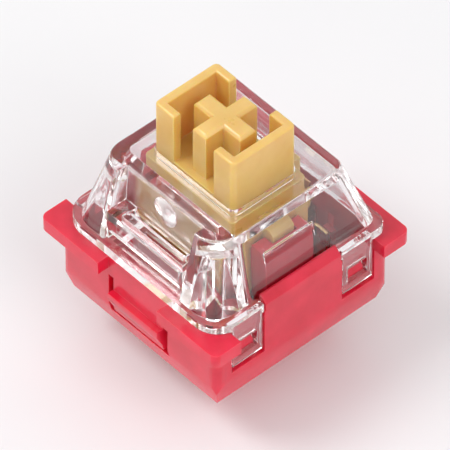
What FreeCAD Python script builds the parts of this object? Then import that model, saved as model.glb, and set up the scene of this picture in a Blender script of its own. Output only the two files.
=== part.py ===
import FreeCAD, Part
import math
import os

# A mechanical keyboard switch: a cross stem between two walls, a clear cover and a red base.
# Millimetres. The origin is the centre of the locating post where the base meets the circuit board.
# +Z is up, +Y is the side of the contacts and solder pins, -Y is the side of the lamp bay.

V = FreeCAD.Vector

# Main heights
flangeBottom = 5.0          # underside of the flange above the board, level with the plate's top face
flangeThick = 1.0
coverRise = 5.6             # flat top of the cover above the flange
crossRise = 3.6             # keycap cross above the cover
wallOverCross = 0.2         # the two walls stand this much higher than the cross
travel = 4.0                # full stroke of the stem
floorTop = 1.0              # inside floor of the base
pinReach = 3.3              # solder pins below the board
postReach = 3.0             # locating post below the board
plateThick = 1.5            # mounting plate that the clips hold

# Clearances
slideGap = 0.1              # round the moving stem
seatGap = 0.05              # between pieces that are pushed together
endGap = 0.05               # left at either end of the stem's stroke
coverSeat = 0.02            # left between the cover's foot and the flange
camGap = 0.06               # between a leg of the stem and the leaf at rest
overrun = 1.0               # how far a cutting tool runs past the face that it opens
sink = 0.2                  # how far a fused feature reaches into what carries it
near = 0.0001               # slack when edges are picked by their place

# Base, seen from above
flangeHalf = 7.8
flangeCornerRadius = 0.5
bodyHalf = 6.95             # fits a 14 mm square cut-out
bodyDrawIn = 0.55           # the lower end is drawn in by this much
bodyTaperTop = 1.9
bodyCornerRadius = 0.7
clipNotchHalf = 2.6         # flange notch above each plate clip
northWallThick = 0.85
sideWallThick = 0.63        # wall behind the latch channels
postRadius = 1.99
postChamfer = 0.35
poleDip = 0.4               # the pole's tip goes this far below the board when pressed
boreSpare = 1.0             # depth of the bore past the pole's tip
guideTubeRoom = 0.29        # between the guide tube and the coil
guideTubeTop = 5.4
lampWall = 0.6              # wall between the stem's chamber and the lamp shaft
lampShaftHalf = 3.1
columnRise = 3.0            # guide columns beside the stem, above the flange
columnHalf = 1.9
columnBack = 0.45           # wall behind a column's groove
columnChamfer = 0.25
sideBlockHalf = 3.0         # raised middle of the two latch sides
sideBlockRise = 1.0
sideBlockBevel = 0.45

# Latch legs of the cover, and the channels and catches that they hook on
legCentre = 4.4
legHalf = 1.2
legThick = 0.6
legInset = 0.07             # legs stay this far inside the body's sides
legDrop = 2.1               # legs below the flange
legWindowHalf = 0.75
legWindowTall = 1.2
legWindowLift = 0.65        # sill of the window above the leg's end
catchDepth = 0.42
catchLand = 0.25            # upright part of a catch's nose
channelSpare = 0.3          # room under a leg

# Plate clips on the north and south sides
clipHalf = 2.2
clipSlit = 0.4
clipReach = 0.47            # nose beyond the body's side
clipNoseLand = 0.5
clipFoot = 1.6
clipSlitTop = 4.4

# Cover
coverThick = 1.1            # thickness of the flat top
coverStepX = 0.45           # the cover's foot stands this far inside the body's sides
coverStepSouth = 0.1
coverStepNorth = 0.2
coverLeanX = 1.3            # the cover's sides lean in by this much over its height
coverLeanSouth = 1.4
coverLeanNorth = 1.85
towerRadius = 1.8           # round corners of the two towers beside the lamp bay
northRadius = 0.8
coverEdge = 0.2             # rounding of the top face's outer edge
coverWall = 0.62            # wall on the sides
northWallTop = 0.6
roomSouth = 3.75            # south end of the stem's room in the cover
roomSouthTop = 3.5
roomCorner = 0.5
rimHeight = 0.7             # rim on the flange, and ledges above the legs
rimStepX = 0.05             # the rim stands this far inside the body's sides
rimStepNorth = 0.1
bayHalf = 3.35              # lamp bay in the middle of the south side
bayLedge = 0.45             # ledge left at the bay's foot
bayShelfRise = 2.9
bayBack = 4.85
bayBackTop = 4.65
bayWall = 0.62
bayRoomBack = 4.3
footSlotHalf = 3.2          # slot above the rim, under the bay's front wall
footSlotHigh = 0.58
lampSlotHalf = 2.4
lampSlotWide = 0.5
lensRadius = 1.25
lensRise = 0.5
towerWall = 0.62
towerRoomTop = 4.2          # above the flange
towerRoomRound = 0.8        # most that a room's corner may take of its narrow top

# Stem
stemHalfX = 3.5
stemHalfY = 2.5
stemCornerRadius = 0.35
wallThick = 0.6
wallReturn = 1.75           # length of each wall's return, from the outer face inwards
wallChamfer = 0.1
crossSpan = 4.1
crossBarAcross = 1.31       # thickness of the east-west bar
crossBarAlong = 1.17        # thickness of the north-south bar
crossChamfer = 0.2
stemRoof = 1.3              # from the cover's top down to where the spring presses
shoulderX = 0.4             # the skirt is this much wider than the walls
shoulderY = 0.45
skirtRadius = 0.3
skirtWallX = 1.0
skirtWallY = 0.6
poleRadius = 0.95
poleChamfer = 0.4
railDepth = 0.95
railHalf = 0.85
railDrop = 0.85             # the rails start this far below the shoulder
railChamfer = 0.3

# Spring
wireRadius = 0.11
wireSides = 6               # the wire is drawn with flats, which keeps its facets few
coilRoom = 0.19             # between the coil and the skirt
activeHalfTurns = 19
endHalfTurns = 3            # closed half turns at either end
coilGap = 0.03              # between the closed turns
springSeat = 0.01           # between the spring and what it presses on

# Contacts, stamped from strip
stripThick = 0.3
pinWidth = 1.3
pinChamfer = 0.35
fixedPinX = -3.81
fixedPinY = 2.54
movingPinX = 2.54
movingPinY = 5.08
fixedPlateY = 3.85          # middle plane of the fixed blade
fixedBladeHalf = 0.95
fixedBladeOver = 0.55       # blade above the contact point
fixedFootTall = 0.85
bladeRadius = 0.3
pinJogBelow = 0.3           # the fixed pin steps sideways this far below the floor's top
movingPlateWest = 1.6
movingPlateEast = 3.3
movingPlateTall = 3.15
leafThick = 0.1
leafHalf = 2.35
leafLift = 0.75             # lower end of the leaf above the floor
leafRootTall = 1.15         # solid lower part of the leaf
leafArmInner = 1.5
leafBridgeDrop = 1.1        # the bridge between the arms lies this far below the bend
leafBridgeTall = 0.3
leafTongueHalf = 0.7
leafBendDrop = 0.75         # the arms bend this far below the nose
leafNoseStep = 0.36
leafTipStep = 0.08
leafTipOver = 0.65
rivetX = 1.0
rivetGap = 0.13             # room under a rivet's head for the leaf's swing
rivetRadius = 0.28
rivetHeadRadius = 0.5
rivetHeadTall = 0.14
barHeight = 0.2             # how far each contact bar stands off its strip
barWidth = 0.36
barLength = 0.7
barCrest = 0.12
barDrop = 0.4               # contact point below the leaf's bend
railThick = 0.35            # ribs that hold the strips upright
closedGap = 0.03            # left between the bars when they are closed, in place of their touch

# Legs of the stem that hold the leaf open
camX = 1.95
camHalf = 0.45
camFootGap = 0.3            # over the fixed strip's foot at full stroke
camFootTall = 0.4
camFootSlope = 0.35
camNoseTall = 0.3
camRamp = 2.2               # stroke over which the leaf is let go
camRoot = 0.15              # below the shoulder

# Heights and places worked out from the values above
flangeTop = flangeBottom + flangeThick
coverTop = flangeTop + coverRise
crossTop = coverTop + crossRise
wallTop = crossTop + wallOverCross
coverUnder = coverTop - coverThick
shoulderTop = coverUnder - endGap
skirtBottom = floorTop + travel + endGap
springTop = coverTop - stemRoof
columnTop = flangeTop + columnRise
railTop = shoulderTop - railDrop
poleBottom = travel - poleDip
boreBottom = -poleDip - boreSpare

skirtHalfX = stemHalfX + shoulderX
skirtHalfY = stemHalfY + shoulderY
coilRadius = skirtHalfY - skirtWallY - coilRoom - wireRadius
guideBoreRadius = poleRadius + slideGap
guideTubeRadius = coilRadius - wireRadius - guideTubeRoom
guideTubeWall = guideTubeRadius - guideBoreRadius
railReach = skirtHalfX + railDepth
columnOuter = railReach + slideGap + columnBack

legOuter = bodyHalf - legInset
legInner = legOuter - legThick
legBottom = flangeBottom - legDrop
windowLow = legBottom + legWindowLift
windowHigh = windowLow + legWindowTall
channelBack = legInner - seatGap
channelEdge = legHalf + slideGap
sideCut = legCentre + channelEdge
chamberHalfX = channelBack - sideWallThick
chamberSouth = skirtHalfY + slideGap + seatGap
lampNorth = chamberSouth + lampWall
northWall = bodyHalf - northWallThick
roomNorth = northWall

coverFootX = bodyHalf - coverStepX
coverFootSouth = bodyHalf - coverStepSouth
coverFootNorth = bodyHalf - coverStepNorth
coverTopX = coverFootX - coverLeanX
coverTopSouth = coverFootSouth - coverLeanSouth
coverTopNorth = coverFootNorth - coverLeanNorth
rimX = bodyHalf - rimStepX
rimSouth = bodyHalf
rimNorth = bodyHalf - rimStepNorth
bayFront = coverFootSouth - bayLedge
roomHalfX = coverFootX - coverWall
roomHalfTopX = coverTopX - coverWall + coverLeanX * coverThick / coverRise
roomNorthTop = coverTopNorth - northWallTop + coverLeanNorth * coverThick / coverRise
bayShelf = flangeTop + bayShelfRise

stripBottom = floorTop + seatGap
fixedFootTop = stripBottom + fixedFootTall
pinJogZ = floorTop - pinJogBelow
movingPlateTop = stripBottom + movingPlateTall
camBottom = fixedFootTop + travel + camFootGap
leafNoseZ = camBottom + camFootTall + camNoseTall / 2
leafBendZ = leafNoseZ - leafBendDrop
leafTipZ = leafNoseZ + leafTipOver
leafBottom = floorTop + leafLift
leafRootTop = leafBottom + leafRootTall
leafY = movingPinY - stripThick / 2 - seatGap - leafThick / 2
leafNoseY = leafY - leafNoseStep
contactZ = leafBendZ - barDrop
fixedBladeTop = contactZ + fixedBladeOver
contactGap = leafY - leafThick / 2 - fixedPlateY - stripThick / 2 - 2 * barHeight
closingSwing = (contactGap - closedGap) / (contactZ - leafBottom)
camNoseY = leafNoseY - leafThick / 2 - camGap
camReliefY = camNoseY - closingSwing * (leafNoseZ - leafBottom) - seatGap


def block(x0, x1, y0, y1, z0, z1):
    return Part.makeBox(x1 - x0, y1 - y0, z1 - z0, V(x0, y0, z0))


def rod(x, y, z0, z1, radius):
    return Part.makeCylinder(radius, z1 - z0, V(x, y, z0))


def mirroredX(shape):
    return shape.mirror(V(0, 0, 0), V(1, 0, 0))


def mirroredY(shape):
    return shape.mirror(V(0, 0, 0), V(0, 1, 0))


def bothX(shape):
    return [shape, mirroredX(shape)]


def bothY(shape):
    return [shape, mirroredY(shape)]


def fourCorners(shape):
    return bothX(shape) + bothX(mirroredY(shape))


def frustum(foot, top, z0, z1):
    """A block with plane leaning sides; foot and top are (x0, x1, y0, y1)."""
    shape = Part.makeWedge(foot[0], z0, -foot[3], -top[3], top[0], foot[1], z1, -foot[2], -top[2], top[1])
    shape.rotate(V(0, 0, 0), V(1, 0, 0), 90)
    return shape


def rounded(shape, radius, test):
    """The same shape with its upright or leaning corner edges rounded where the test holds."""
    corners = [e for e in shape.Edges if e.BoundBox.ZLength > near and test(e.BoundBox.Center)]
    return shape.makeFillet(radius, corners)


def polygonPrism(points, direction):
    return Part.Face(Part.makePolygon(points + [points[0]])).extrude(direction)


def prismAlongX(x0, x1, profile):
    """A solid of one side view, given as (y, z) points, from x0 to x1."""
    return polygonPrism([V(x0, y, z) for y, z in profile], V(x1 - x0, 0, 0))


def prismAlongY(y0, y1, profile):
    """A solid of one front view, given as (x, z) points, from y0 to y1."""
    return polygonPrism([V(x, y0, z) for x, z in profile], V(0, y1 - y0, 0))


def stripProfile(path, thickness):
    """Side view of a bent strip: the path (y, z) thickened evenly to both sides."""
    left = []
    right = []
    for i, (y, z) in enumerate(path):
        before = path[max(i - 1, 0)]
        after = path[min(i + 1, len(path) - 1)]
        into = V(y - before[0], z - before[1], 0)
        out = V(after[0] - y, after[1] - z, 0)
        into = out if into.Length == 0 else into
        out = into if out.Length == 0 else out
        into.normalize()
        out.normalize()
        normal = V(-into.y - out.y, into.x + out.x, 0)
        normal.normalize()
        reach = thickness / 2 / normal.dot(V(-into.y, into.x, 0))
        left.append((y + normal.x * reach, z + normal.y * reach))
        right.append((y - normal.x * reach, z - normal.y * reach))
    return left + right[::-1]


def uprightEdges(shape):
    return [e for e in shape.Edges if e.BoundBox.XLength < 1e-6 and e.BoundBox.YLength < 1e-6]


def edgesWhere(shape, test):
    return [e for e in shape.Edges if test(e.BoundBox)]


def topEdges(shape, z):
    return edgesWhere(shape, lambda b: b.ZMin > z - near)


def export(name, shape):
    shape = shape.removeSplitter()
    for solid in shape.Solids:
        if not solid.isValid():
            raise ValueError(name + " is not valid")
    out = shape.Solids[0] if len(shape.Solids) == 1 else Part.makeCompound(shape.Solids)
    out.exportStep(os.path.join("parts", name + ".step"))
    print(name, "solids", len(shape.Solids), "faces", len(out.Faces), "volume %.3f" % out.Volume,
          "z %.2f..%.2f" % (out.BoundBox.ZMin, out.BoundBox.ZMax))


def makeFlange():
    flange = block(-flangeHalf, flangeHalf, -flangeHalf, flangeHalf, flangeBottom, flangeTop)
    flange = flange.makeFillet(flangeCornerRadius, uprightEdges(flange))
    low = flangeBottom - overrun
    high = flangeTop + overrun
    side = block(bodyHalf, flangeHalf + overrun, -sideCut, sideCut, low, high)
    notch = block(-clipNotchHalf, clipNotchHalf, bodyHalf, flangeHalf + overrun, low, high)
    return flange.cut(bothX(side) + bothY(notch))


def makeBodyShell():
    """Square body with round corners, drawn in towards its foot."""
    shell = block(-bodyHalf, bodyHalf, -bodyHalf, bodyHalf, 0, flangeTop)
    shell = rounded(shell, bodyCornerRadius, lambda c: True)
    foot = bodyHalf - bodyDrawIn
    out = bodyHalf + bodyDrawIn * (flangeTop - bodyTaperTop) / bodyTaperTop
    lean = frustum([-foot, foot, -foot, foot], [-out, out, -out, out], 0, flangeTop)
    return shell.common(lean)


def makeSideBlock():
    """Raised middle of a latch side, bevelled outside and flush with the cover inside."""
    top = flangeTop + sideBlockRise
    inner = coverFootX - coverLeanX * sideBlockRise / coverRise + seatGap
    profile = [(inner, flangeTop - sink), (bodyHalf, flangeTop - sink), (bodyHalf, top - sideBlockBevel),
               (max(bodyHalf - sideBlockBevel, inner + seatGap), top), (inner, top)]
    return prismAlongY(-sideBlockHalf, sideBlockHalf, profile)


def makeColumn():
    """Guide column with the groove that a rail of the stem runs in."""
    inner = skirtHalfX + slideGap
    column = block(inner, columnOuter, -columnHalf, columnHalf, floorTop - sink, columnTop)
    column = column.makeChamfer(columnChamfer, topEdges(column, columnTop))
    groove = block(inner - overrun, railReach + slideGap, -railHalf - slideGap, railHalf + slideGap,
                   floorTop, columnTop + overrun)
    return column.cut(groove)


def makeCatch():
    """Wedge in a latch channel that the window of a cover leg hooks over."""
    half = legWindowHalf - slideGap
    low = windowLow + slideGap
    high = windowHigh - slideGap
    profile = [(channelBack - sink, low), (channelBack + catchDepth, low),
               (channelBack + catchDepth, low + catchLand), (channelBack, high), (channelBack - sink, high)]
    return prismAlongY(legCentre - half, legCentre + half, profile)


def makePlateClip():
    """Nose of the springy tongue that snaps under the mounting plate."""
    top = flangeBottom - plateThick - seatGap
    tip = bodyHalf + clipReach
    profile = [(bodyHalf - sink, top), (tip, top), (tip, top - clipNoseLand), (bodyHalf - sink, clipFoot)]
    return prismAlongX(-clipHalf, clipHalf, profile)


def clipSlits():
    """A slit in the shape of a U that frees a clip's tongue on three sides."""
    y0 = northWall - overrun
    y1 = bodyHalf + clipReach + overrun
    foot = clipFoot - clipSlit
    side = block(clipHalf, clipHalf + clipSlit, y0, y1, foot, clipSlitTop)
    under = block(-clipHalf - clipSlit, clipHalf + clipSlit, y0, y1, foot, clipFoot)
    return fourCorners(side) + bothY(under)


def baseHollows():
    high = columnTop + overrun
    chamber = block(-chamberHalfX, chamberHalfX, -chamberSouth, northWall, floorTop, high)
    shaft = block(-lampShaftHalf, lampShaftHalf, -northWall, -lampNorth, -overrun, high)
    pocket = block(lampShaftHalf + lampWall, chamberHalfX, -northWall, -lampNorth, floorTop, high)
    channel = block(channelBack, flangeHalf + overrun, legCentre - channelEdge, legCentre + channelEdge,
                    legBottom - channelSpare, high)
    return [chamber, shaft] + bothX(pocket) + fourCorners(channel)


def contactRibs():
    """Ribs on the floor that hold the two stamped strips upright."""
    low = floorTop - sink
    fixedTop = fixedFootTop - slideGap
    fixedSouth = fixedPlateY - stripThick / 2 - seatGap
    fixedNorth = fixedPlateY + stripThick / 2 + seatGap
    movingSouth = movingPinY - stripThick / 2 - seatGap
    movingNorth = movingPinY + stripThick / 2 + seatGap
    ribs = [
        block(fixedPinX + pinWidth, fixedBladeHalf, fixedSouth - railThick, fixedSouth, low, fixedTop),
        block(fixedPinX - pinWidth / 2, -leafHalf, fixedNorth, fixedNorth + railThick, low, fixedTop),
        block(-movingPlateWest, movingPlateEast, movingSouth - railThick, movingSouth, low,
              leafBottom - slideGap),
    ]
    postWide = 2 * railThick
    span = movingPlateEast + movingPlateWest - postWide
    for i in range(3):
        x = -movingPlateWest + i * span / 2
        ribs.append(block(x, x + postWide, movingNorth, northWall - clipSlit, low,
                          movingPlateTop - slideGap))
    return ribs


def pinSlots():
    """Slots in the floor for the two solder pins; the fixed pin also steps sideways there."""
    halfWidth = pinWidth / 2 + seatGap
    halfThick = stripThick / 2 + seatGap
    slots = []
    for x, y in ((fixedPinX, fixedPinY), (movingPinX, movingPinY)):
        slots.append(block(x - halfWidth, x + halfWidth, y - halfThick, y + halfThick, -overrun,
                           floorTop + overrun))
    slots.append(block(fixedPinX - halfWidth, fixedPinX + halfWidth, fixedPinY - halfThick,
                       fixedPlateY + halfThick, pinJogZ - halfThick, floorTop + overrun))
    return slots


def makePost():
    post = rod(0, 0, -postReach, sink, postRadius)
    rim = edgesWhere(post, lambda b: b.ZMax < -postReach + near)
    return post.makeChamfer(postChamfer, rim)


def makeLowerHousing():
    body = makeFlange().fuse([makeBodyShell()] + bothX(makeSideBlock()))
    body = body.cut(baseHollows() + clipSlits())
    tube = rod(0, 0, floorTop - sink, guideTubeTop, guideTubeRadius)
    adds = fourCorners(makeCatch()) + bothX(makeColumn()) + bothY(makePlateClip())
    body = body.fuse(adds + [tube, makePost()] + contactRibs())
    bore = rod(0, 0, boreBottom, guideTubeTop + overrun, guideBoreRadius)
    lead = guideTubeWall / 2
    mouth = Part.makeCone(guideBoreRadius, guideBoreRadius + lead, lead, V(0, 0, guideTubeTop - lead))
    return body.cut([bore, mouth] + pinSlots())


def coverBody():
    foot = [-coverFootX, coverFootX, -coverFootSouth, coverFootNorth]
    top = [-coverTopX, coverTopX, -coverTopSouth, coverTopNorth]
    body = frustum(foot, top, flangeTop, coverTop)
    body = rounded(body, towerRadius, lambda c: c.y < 0)
    body = rounded(body, northRadius, lambda c: c.y > 0 and abs(c.x) > coverTopX / 2)
    body = body.makeFillet(coverEdge, topEdges(body, coverTop))
    rim = block(-rimX, rimX, -rimSouth, rimNorth, flangeTop, flangeTop + rimHeight)
    rim = rounded(rim, towerRadius, lambda c: c.y < 0)
    rim = rounded(rim, northRadius, lambda c: c.y > 0)
    under = block(-flangeHalf, flangeHalf, -flangeHalf, flangeHalf, flangeTop - overrun,
                  flangeTop + coverSeat)
    return body.fuse(rim).cut(under)


def bayRecess():
    """What is cut away between the towers, above the shelf and in front of the bay's wall."""
    out = -rimSouth - overrun
    high = coverTop + overrun
    above = prismAlongX(-bayHalf, bayHalf, [(out, bayShelf), (-bayBack, bayShelf), (-bayBackTop, coverTop),
                                            (-bayBackTop, high), (out, high)])
    front = block(-bayHalf, bayHalf, out, -bayFront, flangeTop + rimHeight, high)
    return [above, front]


def towerRoom():
    """Hollow inside the south-east tower."""
    share = towerRoomTop / coverRise
    west = bayHalf + towerWall
    north = -roomSouth - towerWall
    foot = [west, coverFootX - towerWall, -coverFootSouth + towerWall, north]
    top = [west, foot[1] - coverLeanX * share, foot[2] + coverLeanSouth * share, north]
    room = frustum(foot, top, flangeTop, flangeTop + towerRoomTop)
    narrow = min(top[1] - top[0], top[3] - top[2])
    radius = min(towerRadius - towerWall, towerRoomRound * narrow)
    return rounded(room, radius, lambda c: c.x > (foot[0] + top[1]) / 2 and c.y < (foot[2] + north) / 2)


def coverRooms():
    foot = [-roomHalfX, roomHalfX, -roomSouth, roomNorth]
    roof = [-roomHalfTopX, roomHalfTopX, -roomSouthTop, roomNorthTop]
    main = rounded(frustum(foot, roof, flangeTop, coverUnder), roomCorner, lambda c: True)
    pocketX = columnOuter + seatGap
    pocketY = columnHalf + seatGap
    pockets = block(-pocketX, pocketX, -pocketY, pocketY, flangeTop - overrun, columnTop + seatGap)
    bayRoom = block(-bayHalf + towerWall, bayHalf - towerWall, -bayFront + bayWall, -bayRoomBack,
                    flangeTop - overrun, bayShelf - bayWall)
    slot = block(-lampSlotHalf, lampSlotHalf, -bayBack - lampSlotWide, -bayBack, bayShelf - 2 * bayWall,
                 bayShelf + overrun)
    footLow = flangeTop + rimHeight
    footSlot = block(-footSlotHalf, footSlotHalf, -bayFront - overrun, -bayFront + bayWall, footLow,
                     footLow + footSlotHigh)
    return [main, pockets, bayRoom, slot, footSlot] + bothX(towerRoom())


def makeLeg():
    leg = block(legInner, legOuter, legCentre - legHalf, legCentre + legHalf, legBottom,
                flangeTop + rimHeight / 2)
    window = block(legInner - overrun, legOuter + overrun, legCentre - legWindowHalf,
                   legCentre + legWindowHalf, windowLow, windowHigh)
    lead = edgesWhere(leg, lambda b: b.ZMax < legBottom + near and b.XMax < legInner + near)
    return leg.makeChamfer(legThick / 2, lead).cut(window)


def makeLens():
    """Low dome on the upper wall of the lamp bay."""
    rise = coverTop - bayShelf
    back = bayBack - bayBackTop
    length = math.hypot(rise, back)
    depth = lensRadius - lensRise
    centre = V(0, -(bayBack + bayBackTop) / 2 + rise / length * depth,
               (bayShelf + coverTop) / 2 - back / length * depth)
    keep = block(-bayHalf, bayHalf, -bayFront, -bayBackTop, bayShelf + seatGap, coverTop)
    return Part.makeSphere(lensRadius, centre).common(keep)


def makeUpperHousing():
    cover = coverBody().cut(bayRecess())
    front = block(-bayHalf, bayHalf, -bayFront, -bayBack, flangeTop + coverSeat, bayShelf)
    cover = cover.fuse([front] + fourCorners(makeLeg()))
    openX = stemHalfX + slideGap
    openY = stemHalfY + slideGap
    opening = block(-openX, openX, -openY, openY, coverUnder - overrun, coverTop + overrun)
    opening = opening.makeFillet(stemCornerRadius + slideGap, uprightEdges(opening))
    blockTop = flangeTop + sideBlockRise + seatGap
    blockInner = coverFootX - coverLeanX * sideBlockRise / coverRise
    blockEdge = sideBlockHalf + slideGap
    notch = block(blockInner, flangeHalf, -blockEdge, blockEdge, flangeTop - overrun, blockTop)
    cover = cover.cut(coverRooms() + [opening] + bothX(notch))
    return cover.fuse(makeLens())


def makeWalls():
    """The two walls beside the cross, each with a return at both ends, on a solid block."""
    low = (springTop + shoulderTop) / 2
    walls = block(-stemHalfX, stemHalfX, -stemHalfY, stemHalfY, low, wallTop)
    walls = walls.makeFillet(stemCornerRadius, uprightEdges(walls))
    inX = stemHalfX - wallThick
    inY = stemHalfY - wallThick
    gapHalf = stemHalfX - wallReturn
    inside = block(-inX, inX, -inY, inY, coverTop, wallTop + overrun)
    gap = block(-gapHalf, gapHalf, -stemHalfY - overrun, stemHalfY + overrun, coverTop, wallTop + overrun)
    walls = walls.cut([inside, gap])
    return walls.makeChamfer(wallChamfer, topEdges(walls, wallTop))


def makeCross():
    half = crossSpan / 2
    low = coverTop - sink
    across = block(-half, half, -crossBarAcross / 2, crossBarAcross / 2, low, crossTop)
    along = block(-crossBarAlong / 2, crossBarAlong / 2, -half, half, low, crossTop)
    cross = across.fuse(along).removeSplitter()
    return cross.makeChamfer(crossChamfer, topEdges(cross, crossTop))


def makeSkirt():
    skirt = block(-skirtHalfX, skirtHalfX, -skirtHalfY, skirtHalfY, skirtBottom, shoulderTop)
    skirt = skirt.makeFillet(skirtRadius, uprightEdges(skirt))
    inX = skirtHalfX - skirtWallX
    inY = skirtHalfY - skirtWallY
    return skirt.cut(block(-inX, inX, -inY, inY, skirtBottom - overrun, springTop))


def makeRail():
    rail = block(skirtHalfX - sink, railReach, -railHalf, railHalf, skirtBottom, railTop)
    outer = edgesWhere(rail, lambda b: b.ZMin > railTop - near and b.XMin > railReach - near)
    return rail.makeChamfer(railChamfer, outer)


def makePole():
    pole = rod(0, 0, poleBottom, springTop + sink, poleRadius)
    return pole.makeChamfer(poleChamfer, edgesWhere(pole, lambda b: b.ZMax < poleBottom + near))


def makeCam():
    """Leg whose nose holds the leaf open at rest; the ramp above the nose lets the leaf close."""
    root = skirtHalfY - sink
    top = shoulderTop - camRoot
    noseTop = leafNoseZ + camNoseTall / 2
    noseLow = leafNoseZ - camNoseTall / 2
    profile = [(root, top), (camReliefY, top), (camReliefY, min(noseTop + camRamp, top - sink)),
               (camNoseY, noseTop), (camNoseY, noseLow), (camNoseY - camFootSlope, camBottom),
               (root, camBottom)]
    return prismAlongX(camX - camHalf, camX + camHalf, profile)


def makeStem():
    parts = [makeWalls(), makeCross(), makePole()] + bothX(makeRail()) + bothX(makeCam())
    return makeSkirt().fuse(parts)


def makeSpring():
    """Compression spring with closed ends, made of half turns.

    Each half turn is an arc in a plane that leans by its rise, so it leaves level where the next begins.
    The twist carries the wire's flats over from one half turn to the next.
    """
    low = floorTop + wireRadius + springSeat
    high = springTop - wireRadius - springSeat
    endRise = wireRadius + coilGap / 2
    rise = (high - low - 2 * endHalfTurns * endRise) / activeHalfTurns
    rises = [endRise] * endHalfTurns + [rise] * activeHalfTurns + [endRise] * endHalfTurns
    turns = []
    side = 1
    z = low
    twist = 0
    for up in rises:
        start = V(side * coilRadius, 0, z)
        centre = V(0, 0, z + up / 2)
        axis = (start - centre).cross(V(0, side, 0))
        corners = []
        for i in range(wireSides + 1):
            turn = twist + 2 * math.pi * i / wireSides
            corners.append(start + V(wireRadius * math.cos(turn), 0, wireRadius * math.sin(turn)))
        turns.append(Part.Face(Part.makePolygon(corners)).revolve(centre, axis, 180))
        twist = 2 * math.atan2(axis.z, axis.x) - twist
        side = -side
        z += up
    return turns[0].fuse(turns[1:])


def barOutline(root, towards):
    """Cross-section of a contact bar, as (sideways, out) points; it narrows to a flat crest."""
    crest = root + towards * barHeight
    return [(-barWidth / 2, root), (barWidth / 2, root), (barCrest / 2, crest), (-barCrest / 2, crest)]


def makeFixedBar():
    outline = barOutline(fixedPlateY + stripThick / 2, 1)
    points = [V(-barLength / 2, y, contactZ + side) for side, y in outline]
    return polygonPrism(points, V(barLength, 0, 0))


def makeMovingBar():
    outline = barOutline(leafY - leafThick / 2, -1)
    points = [V(side, y, contactZ - barLength / 2) for side, y in outline]
    return polygonPrism(points, V(0, 0, barLength))


def makeFixedTerminal():
    halfPin = pinWidth / 2
    path = [(fixedPinY, -pinReach), (fixedPinY, pinJogZ), (fixedPlateY, pinJogZ),
            (fixedPlateY, fixedFootTop)]
    pin = prismAlongX(fixedPinX - halfPin, fixedPinX + halfPin, stripProfile(path, stripThick))
    pin = pin.makeChamfer(pinChamfer, edgesWhere(pin, lambda b: b.ZMax < -pinReach + near
                                                 and b.XLength < near))
    y0 = fixedPlateY - stripThick / 2
    y1 = fixedPlateY + stripThick / 2
    foot = block(fixedPinX - halfPin, fixedBladeHalf, y0, y1, stripBottom, fixedFootTop)
    blade = block(-fixedBladeHalf, fixedBladeHalf, y0, y1, stripBottom, fixedBladeTop)
    blade = blade.makeFillet(bladeRadius, edgesWhere(blade, lambda b: b.ZMin > fixedBladeTop - near
                                                     and b.XLength < near))
    return pin.fuse([foot, blade])


def makeMovingTerminal():
    halfPin = pinWidth / 2
    y0 = movingPinY - stripThick / 2
    y1 = movingPinY + stripThick / 2
    plate = block(-movingPlateWest, movingPlateEast, y0, y1, stripBottom, movingPlateTop)
    windowHalf = leafTongueHalf + slideGap
    window = block(-windowHalf, windowHalf, y0 - overrun, y1 + overrun, leafRootTop,
                   movingPlateTop + overrun)
    pin = block(movingPinX - halfPin, movingPinX + halfPin, y0, y1, -pinReach, stripBottom + sink)
    pin = pin.makeChamfer(pinChamfer, edgesWhere(pin, lambda b: b.ZMax < -pinReach + near
                                                 and b.XLength < near))
    rivets = []
    headBack = leafY - leafThick / 2 - rivetGap
    z = (leafBottom + leafRootTop) / 2
    for x in (-rivetX, rivetX):
        rivets.append(Part.makeCylinder(rivetRadius, y0 + sink / 2 - headBack, V(x, headBack, z), V(0, 1, 0)))
        rivets.append(Part.makeCylinder(rivetHeadRadius, rivetHeadTall, V(x, headBack - rivetHeadTall, z),
                                        V(0, 1, 0)))
    return plate.cut(window).fuse([pin] + rivets)


def makeMovingLeaf():
    """Thin leaf: a riveted root, two arms with noses, and a tongue with the contact between them."""
    path = [(leafY, leafBottom), (leafY, leafBendZ), (leafNoseY, leafNoseZ),
            (leafY - leafTipStep, leafTipZ)]
    leaf = prismAlongX(-leafHalf, leafHalf, stripProfile(path, leafThick))
    y0 = leafNoseY - overrun
    y1 = leafY + overrun
    bridgeLow = leafBendZ - leafBridgeDrop
    cuts = [
        block(-leafArmInner, leafArmInner, y0, y1, leafBendZ, leafTipZ + overrun),
        block(-leafArmInner, leafArmInner, y0, y1, leafRootTop, bridgeLow),
    ]
    cuts += bothX(block(leafTongueHalf, leafArmInner, y0, y1, bridgeLow + leafBridgeTall, leafTipZ))
    z = (leafBottom + leafRootTop) / 2
    for x in (-rivetX, rivetX):
        cuts.append(Part.makeCylinder(rivetRadius + seatGap, 2 * overrun, V(x, y0, z), V(0, 1, 0)))
    return leaf.cut(cuts)


def main():
    os.makedirs("parts", exist_ok=True)
    export("lower_housing", makeLowerHousing())
    export("upper_housing", makeUpperHousing())
    export("stem", makeStem())
    export("return_spring", makeSpring())
    export("fixed_terminal", makeFixedTerminal())
    export("fixed_contact_bar", makeFixedBar())
    export("moving_terminal", makeMovingTerminal())
    export("moving_leaf", makeMovingLeaf())
    export("moving_contact_bar", makeMovingBar())
    print("leaf turns at y %.3f z %.3f by %.4f rad" % (leafY, leafBottom, closingSwing))


main()
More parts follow.
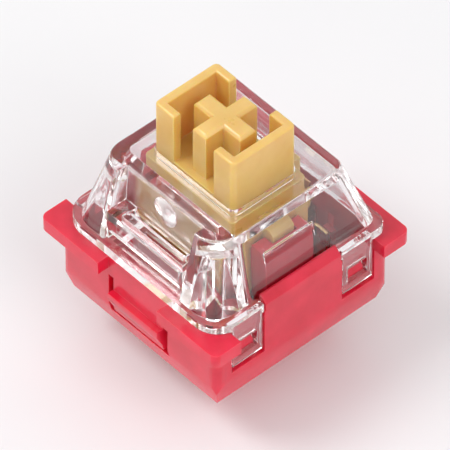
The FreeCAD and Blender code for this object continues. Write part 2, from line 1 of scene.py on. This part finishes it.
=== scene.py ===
import bmesh
import bpy
import math
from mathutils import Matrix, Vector


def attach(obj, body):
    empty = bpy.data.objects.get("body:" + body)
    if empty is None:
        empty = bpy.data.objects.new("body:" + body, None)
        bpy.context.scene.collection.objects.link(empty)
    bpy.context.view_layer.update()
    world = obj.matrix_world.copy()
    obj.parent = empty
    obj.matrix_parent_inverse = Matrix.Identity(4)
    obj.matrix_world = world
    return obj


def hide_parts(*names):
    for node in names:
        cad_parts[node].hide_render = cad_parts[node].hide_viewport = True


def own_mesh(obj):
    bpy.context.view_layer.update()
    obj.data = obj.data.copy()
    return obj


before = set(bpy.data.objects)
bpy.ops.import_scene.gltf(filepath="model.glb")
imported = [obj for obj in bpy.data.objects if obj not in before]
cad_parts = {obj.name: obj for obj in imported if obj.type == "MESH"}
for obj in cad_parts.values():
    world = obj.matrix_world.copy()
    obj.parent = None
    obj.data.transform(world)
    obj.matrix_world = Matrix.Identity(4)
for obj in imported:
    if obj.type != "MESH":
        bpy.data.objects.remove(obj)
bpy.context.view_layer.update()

mm = 0.001


def deselectAll():
    if bpy.context.object and bpy.context.object.mode != "OBJECT":
        bpy.ops.object.mode_set(mode="OBJECT")
    bpy.ops.object.select_all(action="DESELECT")


def pick(piece):
    deselectAll()
    piece.select_set(True)
    bpy.context.view_layer.objects.active = piece


def setMaterial(piece, material):
    piece.data.materials.clear()
    piece.data.materials.append(material)


def applyModifier(piece, kind, name, **values):
    pick(piece)
    modifier = piece.modifiers.new(name, kind)
    for key, value in values.items():
        setattr(modifier, key, value)
    bpy.ops.object.modifier_apply(modifier=modifier.name)


def newMaterial(name):
    material = bpy.data.materials.new(name)
    material.use_nodes = True
    tree = material.node_tree
    shader = tree.nodes["Principled BSDF"]
    return material, tree, shader


# places of the Mix node's sockets, because its colour and number sockets share their names
mixColourA = 6
mixColourB = 7
mixColourOut = 2
mixFactor = 0
mixNumberA = 2
mixNumberB = 3
mixNumberOut = 0


def objectPlace(tree):
    return tree.nodes.new("ShaderNodeTexCoord").outputs["Object"]


def objectNoise(tree, scale, detail, roughness=0.55, distortion=0.0):
    place = objectPlace(tree)
    noise = tree.nodes.new("ShaderNodeTexNoise")
    noise.inputs["Scale"].default_value = scale
    noise.inputs["Detail"].default_value = detail
    noise.inputs["Roughness"].default_value = roughness
    noise.inputs["Distortion"].default_value = distortion
    tree.links.new(place, noise.inputs["Vector"])
    return noise.outputs["Fac"]


def spread(tree, source, low, high, fromLow=0.3, fromHigh=0.7):
    spreader = tree.nodes.new("ShaderNodeMapRange")
    spreader.inputs["From Min"].default_value = fromLow
    spreader.inputs["From Max"].default_value = fromHigh
    spreader.inputs["To Min"].default_value = low
    spreader.inputs["To Max"].default_value = high
    tree.links.new(source, spreader.inputs["Value"])
    return spreader.outputs["Result"]


def combine(tree, operation, first, second):
    node = tree.nodes.new("ShaderNodeMath")
    node.operation = operation
    tree.links.new(first, node.inputs[0])
    tree.links.new(second, node.inputs[1])
    return node.outputs[0]


def blendColours(tree, clouds, first, second):
    mixer = tree.nodes.new("ShaderNodeMix")
    mixer.data_type = "RGBA"
    tree.links.new(spread(tree, clouds, 0, 1), mixer.inputs["Factor"])
    mixer.inputs[mixColourA].default_value = (*first, 1)
    mixer.inputs[mixColourB].default_value = (*second, 1)
    return mixer.outputs[mixColourOut]


def bumpFrom(tree, height, strength, distance, shader):
    bump = tree.nodes.new("ShaderNodeBump")
    bump.inputs["Strength"].default_value = strength
    bump.inputs["Distance"].default_value = distance
    tree.links.new(height, bump.inputs["Height"])
    tree.links.new(bump.outputs["Normal"], shader.inputs["Normal"])


def edgeMask(tree, radius):
    # 1 where the surface turns over an edge within the radius, 0 where it is flat
    edge = {"samples": 4, "flat": 0.98, "turned": 0.80}
    bevel = tree.nodes.new("ShaderNodeBevel")
    bevel.samples = edge["samples"]
    bevel.inputs["Radius"].default_value = radius
    straight = tree.nodes.new("ShaderNodeNewGeometry")
    turn = tree.nodes.new("ShaderNodeVectorMath")
    turn.operation = "DOT_PRODUCT"
    tree.links.new(bevel.outputs["Normal"], turn.inputs[0])
    tree.links.new(straight.outputs["Normal"], turn.inputs[1])
    return spread(tree, turn.outputs["Value"], 0, 1, edge["flat"], edge["turned"])


# paints a lighter colour along every edge within the radius, as a painted highlight on the edges
def paintEdgeHighlight(tree, colour, edgeHighlight, radius, shader):
    mixer = tree.nodes.new("ShaderNodeMix")
    mixer.data_type = "RGBA"
    tree.links.new(edgeMask(tree, radius), mixer.inputs["Factor"])
    tree.links.new(colour, mixer.inputs[mixColourA])
    mixer.inputs[mixColourB].default_value = (*edgeHighlight, 1)
    tree.links.new(mixer.outputs[mixColourOut], shader.inputs["Base Color"])


def makeMoulded(name, look):
    material, tree, shader = newMaterial(name)
    clouds = objectNoise(tree, look["cloudScale"], detail=4)
    grain = objectNoise(tree, look["grainScale"], detail=3)
    colour = blendColours(tree, clouds, look["deep"], look["light"])
    # a painted highlight along the edges of the moulded part
    paintEdgeHighlight(tree, colour, look["edgeHighlight"], look["edgeHighlightRadius"], shader)
    tree.links.new(spread(tree, clouds, *look["rough"]), shader.inputs["Roughness"])
    bumpFrom(tree, grain, look["bump"], look["bumpDepth"], shader)
    shader.inputs["IOR"].default_value = look["ior"]
    shader.inputs["Specular IOR Level"].default_value = look["specular"]
    shader.inputs["Subsurface Weight"].default_value = look["subsurface"]
    shader.inputs["Subsurface Radius"].default_value = look["subsurfaceRadius"]
    shader.inputs["Subsurface Scale"].default_value = look["subsurfaceScale"]
    return material


def makeClear(name, look):
    material, tree, shader = newMaterial(name)
    clouds = objectNoise(tree, look["cloudScale"], detail=3)
    flow = objectNoise(tree, look["flowScale"], 2, look["flowRoughness"], look["flowDistortion"])
    colour = blendColours(tree, clouds, look["tint"], look["tintDeep"])
    tree.links.new(colour, shader.inputs["Base Color"])
    parts = tree.nodes.new("ShaderNodeSeparateXYZ")
    tree.links.new(objectPlace(tree), parts.inputs["Vector"])
    sideways = tree.nodes.new("ShaderNodeMath")
    sideways.operation = "ABSOLUTE"
    tree.links.new(parts.outputs["X"], sideways.inputs[0])
    soft = look["frostEdge"]
    inX = spread(tree, sideways.outputs[0], 1, 0, look["frostHalf"], look["frostHalf"] + soft)
    inY = spread(tree, parts.outputs["Y"], 1, 0, look["frostY"], look["frostY"] + soft)
    inZ = spread(tree, parts.outputs["Z"], 0, 1, look["frostZ"] - soft, look["frostZ"])
    window = combine(tree, "MULTIPLY", combine(tree, "MULTIPLY", inX, inY), inZ)
    rough = tree.nodes.new("ShaderNodeMix")
    tree.links.new(window, rough.inputs[mixFactor])
    tree.links.new(spread(tree, clouds, *look["rough"]), rough.inputs[mixNumberA])
    rough.inputs[mixNumberB].default_value = look["frosted"]
    tree.links.new(rough.outputs[mixNumberOut], shader.inputs["Roughness"])
    bumpFrom(tree, flow, look["bump"], look["bumpDepth"], shader)
    shader.inputs["IOR"].default_value = look["ior"]
    shader.inputs["Transmission Weight"].default_value = look["clear"]
    return material


def makeMetal(name, look):
    # noise that is squeezed along one axis gives the fine lines of rolled strip or drawn wire
    shared = {
        "lineScale": 4000,
        "lineDetail": 2,
        "bump": 0.15,
        "bumpDepth": 0.004 * mm,
        # radius and gain of the painted highlight along the metal's edges
        "edgeHighlightRadius": 0.03 * mm,
        "edgeHighlightGain": 1.12,
    }
    material, tree, shader = newMaterial(name)
    clouds = objectNoise(tree, look["cloudScale"], detail=4)
    squeeze = tree.nodes.new("ShaderNodeMapping")
    squeeze.inputs["Scale"].default_value = look["squeeze"]
    lines = tree.nodes.new("ShaderNodeTexNoise")
    lines.inputs["Scale"].default_value = shared["lineScale"]
    lines.inputs["Detail"].default_value = shared["lineDetail"]
    tree.links.new(objectPlace(tree), squeeze.inputs["Vector"])
    tree.links.new(squeeze.outputs["Vector"], lines.inputs["Vector"])
    colour = blendColours(tree, clouds, look["dark"], look["bright"])
    # the painted edge highlight is a little lighter than the bright tone
    edgeHighlight = [min(1.0, part * shared["edgeHighlightGain"]) for part in look["bright"]]
    paintEdgeHighlight(tree, colour, edgeHighlight, shared["edgeHighlightRadius"], shader)
    tree.links.new(spread(tree, clouds, *look["rough"]), shader.inputs["Roughness"])
    bumpFrom(tree, lines.outputs["Fac"], shared["bump"], shared["bumpDepth"], shader)
    shader.inputs["Metallic"].default_value = 1.0
    return material


goldAcetal = makeMoulded("goldAcetal", {
    "deep": (0.720, 0.448, 0.106),
    "light": (0.790, 0.540, 0.170),
    # the next two entries give the colour and radius of the painted highlight along the stem's edges
    "edgeHighlight": (0.88, 0.72, 0.40),
    "edgeHighlightRadius": 0.06 * mm,
    "cloudScale": 420,
    "grainScale": 9000,
    "rough": (0.26, 0.36),
    "bump": 0.12,
    "bumpDepth": 0.01 * mm,
    "ior": 1.48,
    "specular": 0.95,
    "subsurface": 0.7,
    "subsurfaceRadius": (1.0, 0.50, 0.12),
    "subsurfaceScale": 1.25 * mm,
})

redNylon = makeMoulded("redNylon", {
    "deep": (0.640, 0.009, 0.036),
    "light": (0.820, 0.020, 0.064),
    # the next two entries give the colour and radius of the painted highlight along the base's edges
    "edgeHighlight": (0.90, 0.10, 0.15),
    "edgeHighlightRadius": 0.06 * mm,
    "cloudScale": 380,
    "grainScale": 7000,
    "rough": (0.14, 0.24),
    "bump": 0.10,
    "bumpDepth": 0.008 * mm,
    "ior": 1.53,
    "specular": 0.5,
    "subsurface": 0.5,
    "subsurfaceRadius": (1.0, 0.10, 0.08),
    "subsurfaceScale": 0.7 * mm,
})

clearPolycarbonate = makeClear("clearPolycarbonate", {
    "tint": (0.996, 0.982, 0.989),
    "tintDeep": (0.988, 0.968, 0.979),
    "cloudScale": 500,
    "flowScale": 260,
    "flowRoughness": 0.4,
    "flowDistortion": 0.6,
    "rough": (0.015, 0.06),
    "frosted": 0.24,            # roughness of the lamp's window, high in the wall at -Y
    "frostHalf": 3.3 * mm,
    "frostY": -4.5 * mm,
    "frostZ": 9.0 * mm,
    "frostEdge": 0.1 * mm,
    "bump": 0.05,
    "bumpDepth": 0.01 * mm,
    "ior": 1.585,
    "clear": 1.0,
})

springSteel = makeMetal("springSteel", {
    "dark": (0.62, 0.62, 0.63),
    "bright": (0.78, 0.78, 0.80),
    "rough": (0.18, 0.30),
    "cloudScale": 900,
    "squeeze": (1, 1, 6),
})

terminalBrass = makeMetal("terminalBrass", {
    "dark": (0.72, 0.52, 0.25),
    "bright": (0.84, 0.66, 0.36),
    "rough": (0.22, 0.36),
    "cloudScale": 700,
    "squeeze": (6, 1, 1),
})

contactGold = makeMetal("contactGold", {
    "dark": (0.85, 0.62, 0.22),
    "bright": (0.95, 0.74, 0.32),
    "rough": (0.12, 0.22),
    "cloudScale": 1500,
    "squeeze": (1, 1, 4),
})

leafBronze = makeMetal("leafBronze", {
    "dark": (0.66, 0.40, 0.22),
    "bright": (0.78, 0.52, 0.30),
    "rough": (0.20, 0.32),
    "cloudScale": 800,
    "squeeze": (8, 1, 1),
})
print("materials made")

# what all softened pieces share; lengths are metres and angles degrees
plainSoft = {
    "merge": 2e-7,
    "sharpAngle": 28,
    "smoothAngle": 32,
    "flatWeight": 50,
    "segments": 2,
    "inner": False,
    "shortest": 0.0,
    "seat": (0.0, 0.0),
}


def roundEdges(piece, soft):
    # rounds sharp outer edges, and inner corners if inner says so; edges in the seat's low step stay sharp
    pick(piece)
    bpy.ops.object.mode_set(mode="EDIT")
    bpy.ops.mesh.select_mode(type="EDGE")
    bpy.ops.mesh.select_all(action="DESELECT")
    form = bmesh.from_edit_mesh(piece.data)
    for edge in form.edges:
        sharp = edge.is_manifold and edge.calc_face_angle() > math.radians(soft["sharpAngle"])
        seat = all(soft["seat"][0] < corner.co.z < soft["seat"][1] for corner in edge.verts)
        roomy = edge.calc_length() > soft["shortest"] and (edge.is_convex or soft["inner"])
        if sharp and roomy and not seat:
            edge.select_set(True)
    bmesh.update_edit_mesh(piece.data)
    bpy.ops.mesh.bevel(offset=soft["bevel"], segments=soft["segments"], miter_outer="ARC",
                       clamp_overlap=False, loop_slide=False)
    bpy.ops.mesh.select_all(action="SELECT")
    bpy.ops.mesh.remove_doubles(threshold=soft["merge"])
    bpy.ops.object.mode_set(mode="OBJECT")


def softenedCopy(nodeName, pieceName, material, body, soft):
    # a merged copy of the solid, with its sharp edges rounded
    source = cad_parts[nodeName]
    piece = source.copy()
    piece.data = source.data.copy()
    piece.name = pieceName
    piece.data.name = pieceName
    for key in list(piece.keys()):
        del piece[key]
    piece.parent = None
    bpy.context.scene.collection.objects.link(piece)
    pick(piece)
    bpy.ops.object.mode_set(mode="EDIT")
    bpy.ops.mesh.select_all(action="SELECT")
    bpy.ops.mesh.remove_doubles(threshold=soft["merge"])
    bpy.ops.mesh.customdata_custom_splitnormals_clear()
    bpy.ops.object.mode_set(mode="OBJECT")
    roundEdges(piece, soft)
    bpy.ops.object.shade_smooth_by_angle(angle=math.radians(soft["smoothAngle"]))
    applyModifier(piece, "WEIGHTED_NORMAL", "even flats", mode="FACE_AREA", weight=soft["flatWeight"],
                  keep_sharp=True)
    setMaterial(piece, material)
    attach(piece, body)
    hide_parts(nodeName)
    print(pieceName, "faces", len(piece.data.polygons))


coverSoft = {
    **plainSoft,
    "bevel": 0.05 * mm,
    "inner": True,
    "shortest": 0.075 * mm,
    "seat": (5.99 * mm, 6.03 * mm),
}
softenedCopy("upper_housing", "clearCover", clearPolycarbonate, "housing", coverSoft)

baseSoft = {**plainSoft, "bevel": 0.045 * mm}
softenedCopy("lower_housing", "redBase", redNylon, "housing", baseSoft)

stemSoft = {**plainSoft, "bevel": 0.06 * mm, "inner": True}
softenedCopy("stem", "goldStem", goldAcetal, "stem", stemSoft)


def coilPart(name, coil, side, low, turns, rise):
    # a wire circle carried round by the screw modifier
    deselectAll()
    bpy.ops.mesh.primitive_circle_add(vertices=coil["wireSides"], radius=coil["wire"], fill_type="NOTHING",
                                      location=(side * coil["radius"], 0, low), rotation=(math.pi / 2, 0, 0))
    part = bpy.context.object
    part.name = name
    bpy.ops.object.transform_apply(location=True, rotation=True, scale=True)
    steps = round(turns * coil["stepsPerTurn"])
    applyModifier(part, "SCREW", "coil", axis="Z", angle=turns * 2 * math.pi, screw_offset=rise,
                  steps=steps, render_steps=steps, iterations=1, use_merge_vertices=False,
                  use_normal_calculate=True)
    return part


def makeSpring():
    # two closed ends and an open middle, joined where their circles meet
    coil = {
        "radius": 2.05 * mm,
        "wire": 0.105 * mm,
        "wireSides": 14,
        "bottom": 1.125 * mm,
        "top": 10.175 * mm,
        "endTurns": 1.5,
        "endPitch": 0.235 * mm,
        "activeTurns": 9.5,
        "stepsPerTurn": 40,
        "merge": 0.002 * mm,
        "smoothAngle": 50,
    }
    endRise = coil["endTurns"] * coil["endPitch"]
    activeRise = coil["top"] - coil["bottom"] - 2 * endRise
    low = coilPart("lowTurns", coil, 1, coil["bottom"], coil["endTurns"], endRise)
    middle = coilPart("openTurns", coil, -1, coil["bottom"] + endRise, coil["activeTurns"], activeRise)
    high = coilPart("highTurns", coil, 1, coil["top"] - endRise, coil["endTurns"], endRise)
    deselectAll()
    for part in (low, middle, high):
        part.select_set(True)
    bpy.context.view_layer.objects.active = middle
    bpy.ops.object.join()
    piece = bpy.context.object
    piece.name = "returnSpring"
    piece.data.name = "returnSpring"
    bpy.ops.object.mode_set(mode="EDIT")
    bpy.ops.mesh.select_all(action="SELECT")
    bpy.ops.mesh.remove_doubles(threshold=coil["merge"])
    bpy.ops.mesh.select_all(action="DESELECT")
    bpy.ops.mesh.select_non_manifold(extend=False, use_wire=False, use_multi_face=False,
                                     use_non_contiguous=False, use_verts=False)
    bpy.ops.mesh.fill()
    bpy.ops.mesh.select_all(action="SELECT")
    bpy.ops.mesh.normals_make_consistent(inside=False)
    bpy.ops.object.mode_set(mode="OBJECT")
    bpy.ops.object.shade_smooth_by_angle(angle=math.radians(coil["smoothAngle"]))
    setMaterial(piece, springSteel)
    print("returnSpring faces", len(piece.data.polygons))
    return piece


returnSpring = makeSpring()
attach(returnSpring, "housing")
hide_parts("return_spring")
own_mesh(returnSpring)
print("spring made")

terminalSoft = {**plainSoft, "bevel": 0.03 * mm}
leafSoft = {**plainSoft, "bevel": 0.015 * mm, "segments": 1}

softenedCopy("fixed_terminal", "fixedTerminal", terminalBrass, "housing", terminalSoft)
softenedCopy("moving_terminal", "movingTerminal", terminalBrass, "housing", terminalSoft)
softenedCopy("moving_leaf", "movingLeaf", leafBronze, "leaf", leafSoft)
softenedCopy("fixed_contact_bar", "fixedContactBar", contactGold, "housing", leafSoft)
softenedCopy("moving_contact_bar", "movingContactBar", contactGold, "leaf", leafSoft)
print("contacts finished")


def makeStage():
    stage = {
        "size": 4.0,
        "level": -3.3 * mm,
        "cloudScale": 60,
        "dim": (0.86, 0.855, 0.87),
        "pale": (0.88, 0.875, 0.885),
        "rough": 0.6,
    }
    deselectAll()
    bpy.ops.mesh.primitive_plane_add(size=stage["size"], location=(0, 0, stage["level"]))
    floor = bpy.context.object
    floor.name = "floor"
    material, tree, shader = newMaterial("paleFloor")
    clouds = objectNoise(tree, stage["cloudScale"], detail=3)
    colour = blendColours(tree, clouds, stage["dim"], stage["pale"])
    tree.links.new(colour, shader.inputs["Base Color"])
    shader.inputs["Roughness"].default_value = stage["rough"]
    setMaterial(floor, material)


def makeLights():
    lights = {
        "world": 0.68,
        "background": 1.0,
        "aim": (0, 0, 5 * mm),
        "key": {"place": (-0.120, -0.165, 0.290), "size": 0.14, "power": 0.46},
        "side": {"place": (0.22, -0.03, 0.21), "size": 0.16, "power": 0.23},
    }
    world = bpy.data.worlds.new("studio")
    bpy.context.scene.world = world
    world.use_nodes = True
    tree = world.node_tree
    background = tree.nodes["Background"]
    background.inputs["Color"].default_value = (1, 1, 1, 1)
    # straight, mirrored and refracted views of the world show a white background
    rays = tree.nodes.new("ShaderNodeLightPath").outputs
    seen = combine(tree, "MAXIMUM", rays["Is Camera Ray"], rays["Is Glossy Ray"])
    seenThrough = combine(tree, "MAXIMUM", seen, rays["Is Transmission Ray"])
    strength = spread(tree, seenThrough, lights["world"], lights["background"], 0, 1)
    tree.links.new(strength, background.inputs["Strength"])
    for name in ("key", "side"):
        lamp = lights[name]
        data = bpy.data.lights.new(name, "AREA")
        data.size = lamp["size"]
        data.energy = lamp["power"]
        holder = bpy.data.objects.new(name, data)
        bpy.context.scene.collection.objects.link(holder)
        holder.location = lamp["place"]
        way = Vector(lights["aim"]) - Vector(lamp["place"])
        holder.rotation_euler = way.to_track_quat("-Z", "Y").to_euler()


def makeCamera():
    shot = {
        "azimuth": 48.0,
        "elevation": 46.8,
        "distance": 0.594,
        "lens": 800.0,
        "sensor": 36,
        "nearest": 0.01,
        "furthest": 20,
        "aim": (0, 0, 5.8 * mm),
    }
    a = math.radians(shot["azimuth"])
    e = math.radians(shot["elevation"])
    way = Vector((math.sin(a) * math.cos(e), -math.cos(a) * math.cos(e), math.sin(e)))
    data = bpy.data.cameras.new("camera")
    data.lens = shot["lens"]
    data.sensor_width = shot["sensor"]
    data.clip_start = shot["nearest"]
    data.clip_end = shot["furthest"]
    camera = bpy.data.objects.new("camera", data)
    bpy.context.scene.collection.objects.link(camera)
    camera.location = Vector(shot["aim"]) + way * shot["distance"]
    camera.rotation_euler = (-way).to_track_quat("-Z", "Y").to_euler()
    bpy.context.scene.camera = camera


def setBounces():
    # light goes many times to and fro between the clear cover's walls
    cycles = bpy.context.scene.cycles
    cycles.max_bounces = 32
    cycles.glossy_bounces = 24
    cycles.transmission_bounces = 32
    cycles.diffuse_bounces = 6


makeStage()
makeLights()
makeCamera()
setBounces()
bpy.context.scene.view_settings.view_transform = "Standard"
print("stage, lights and camera set")
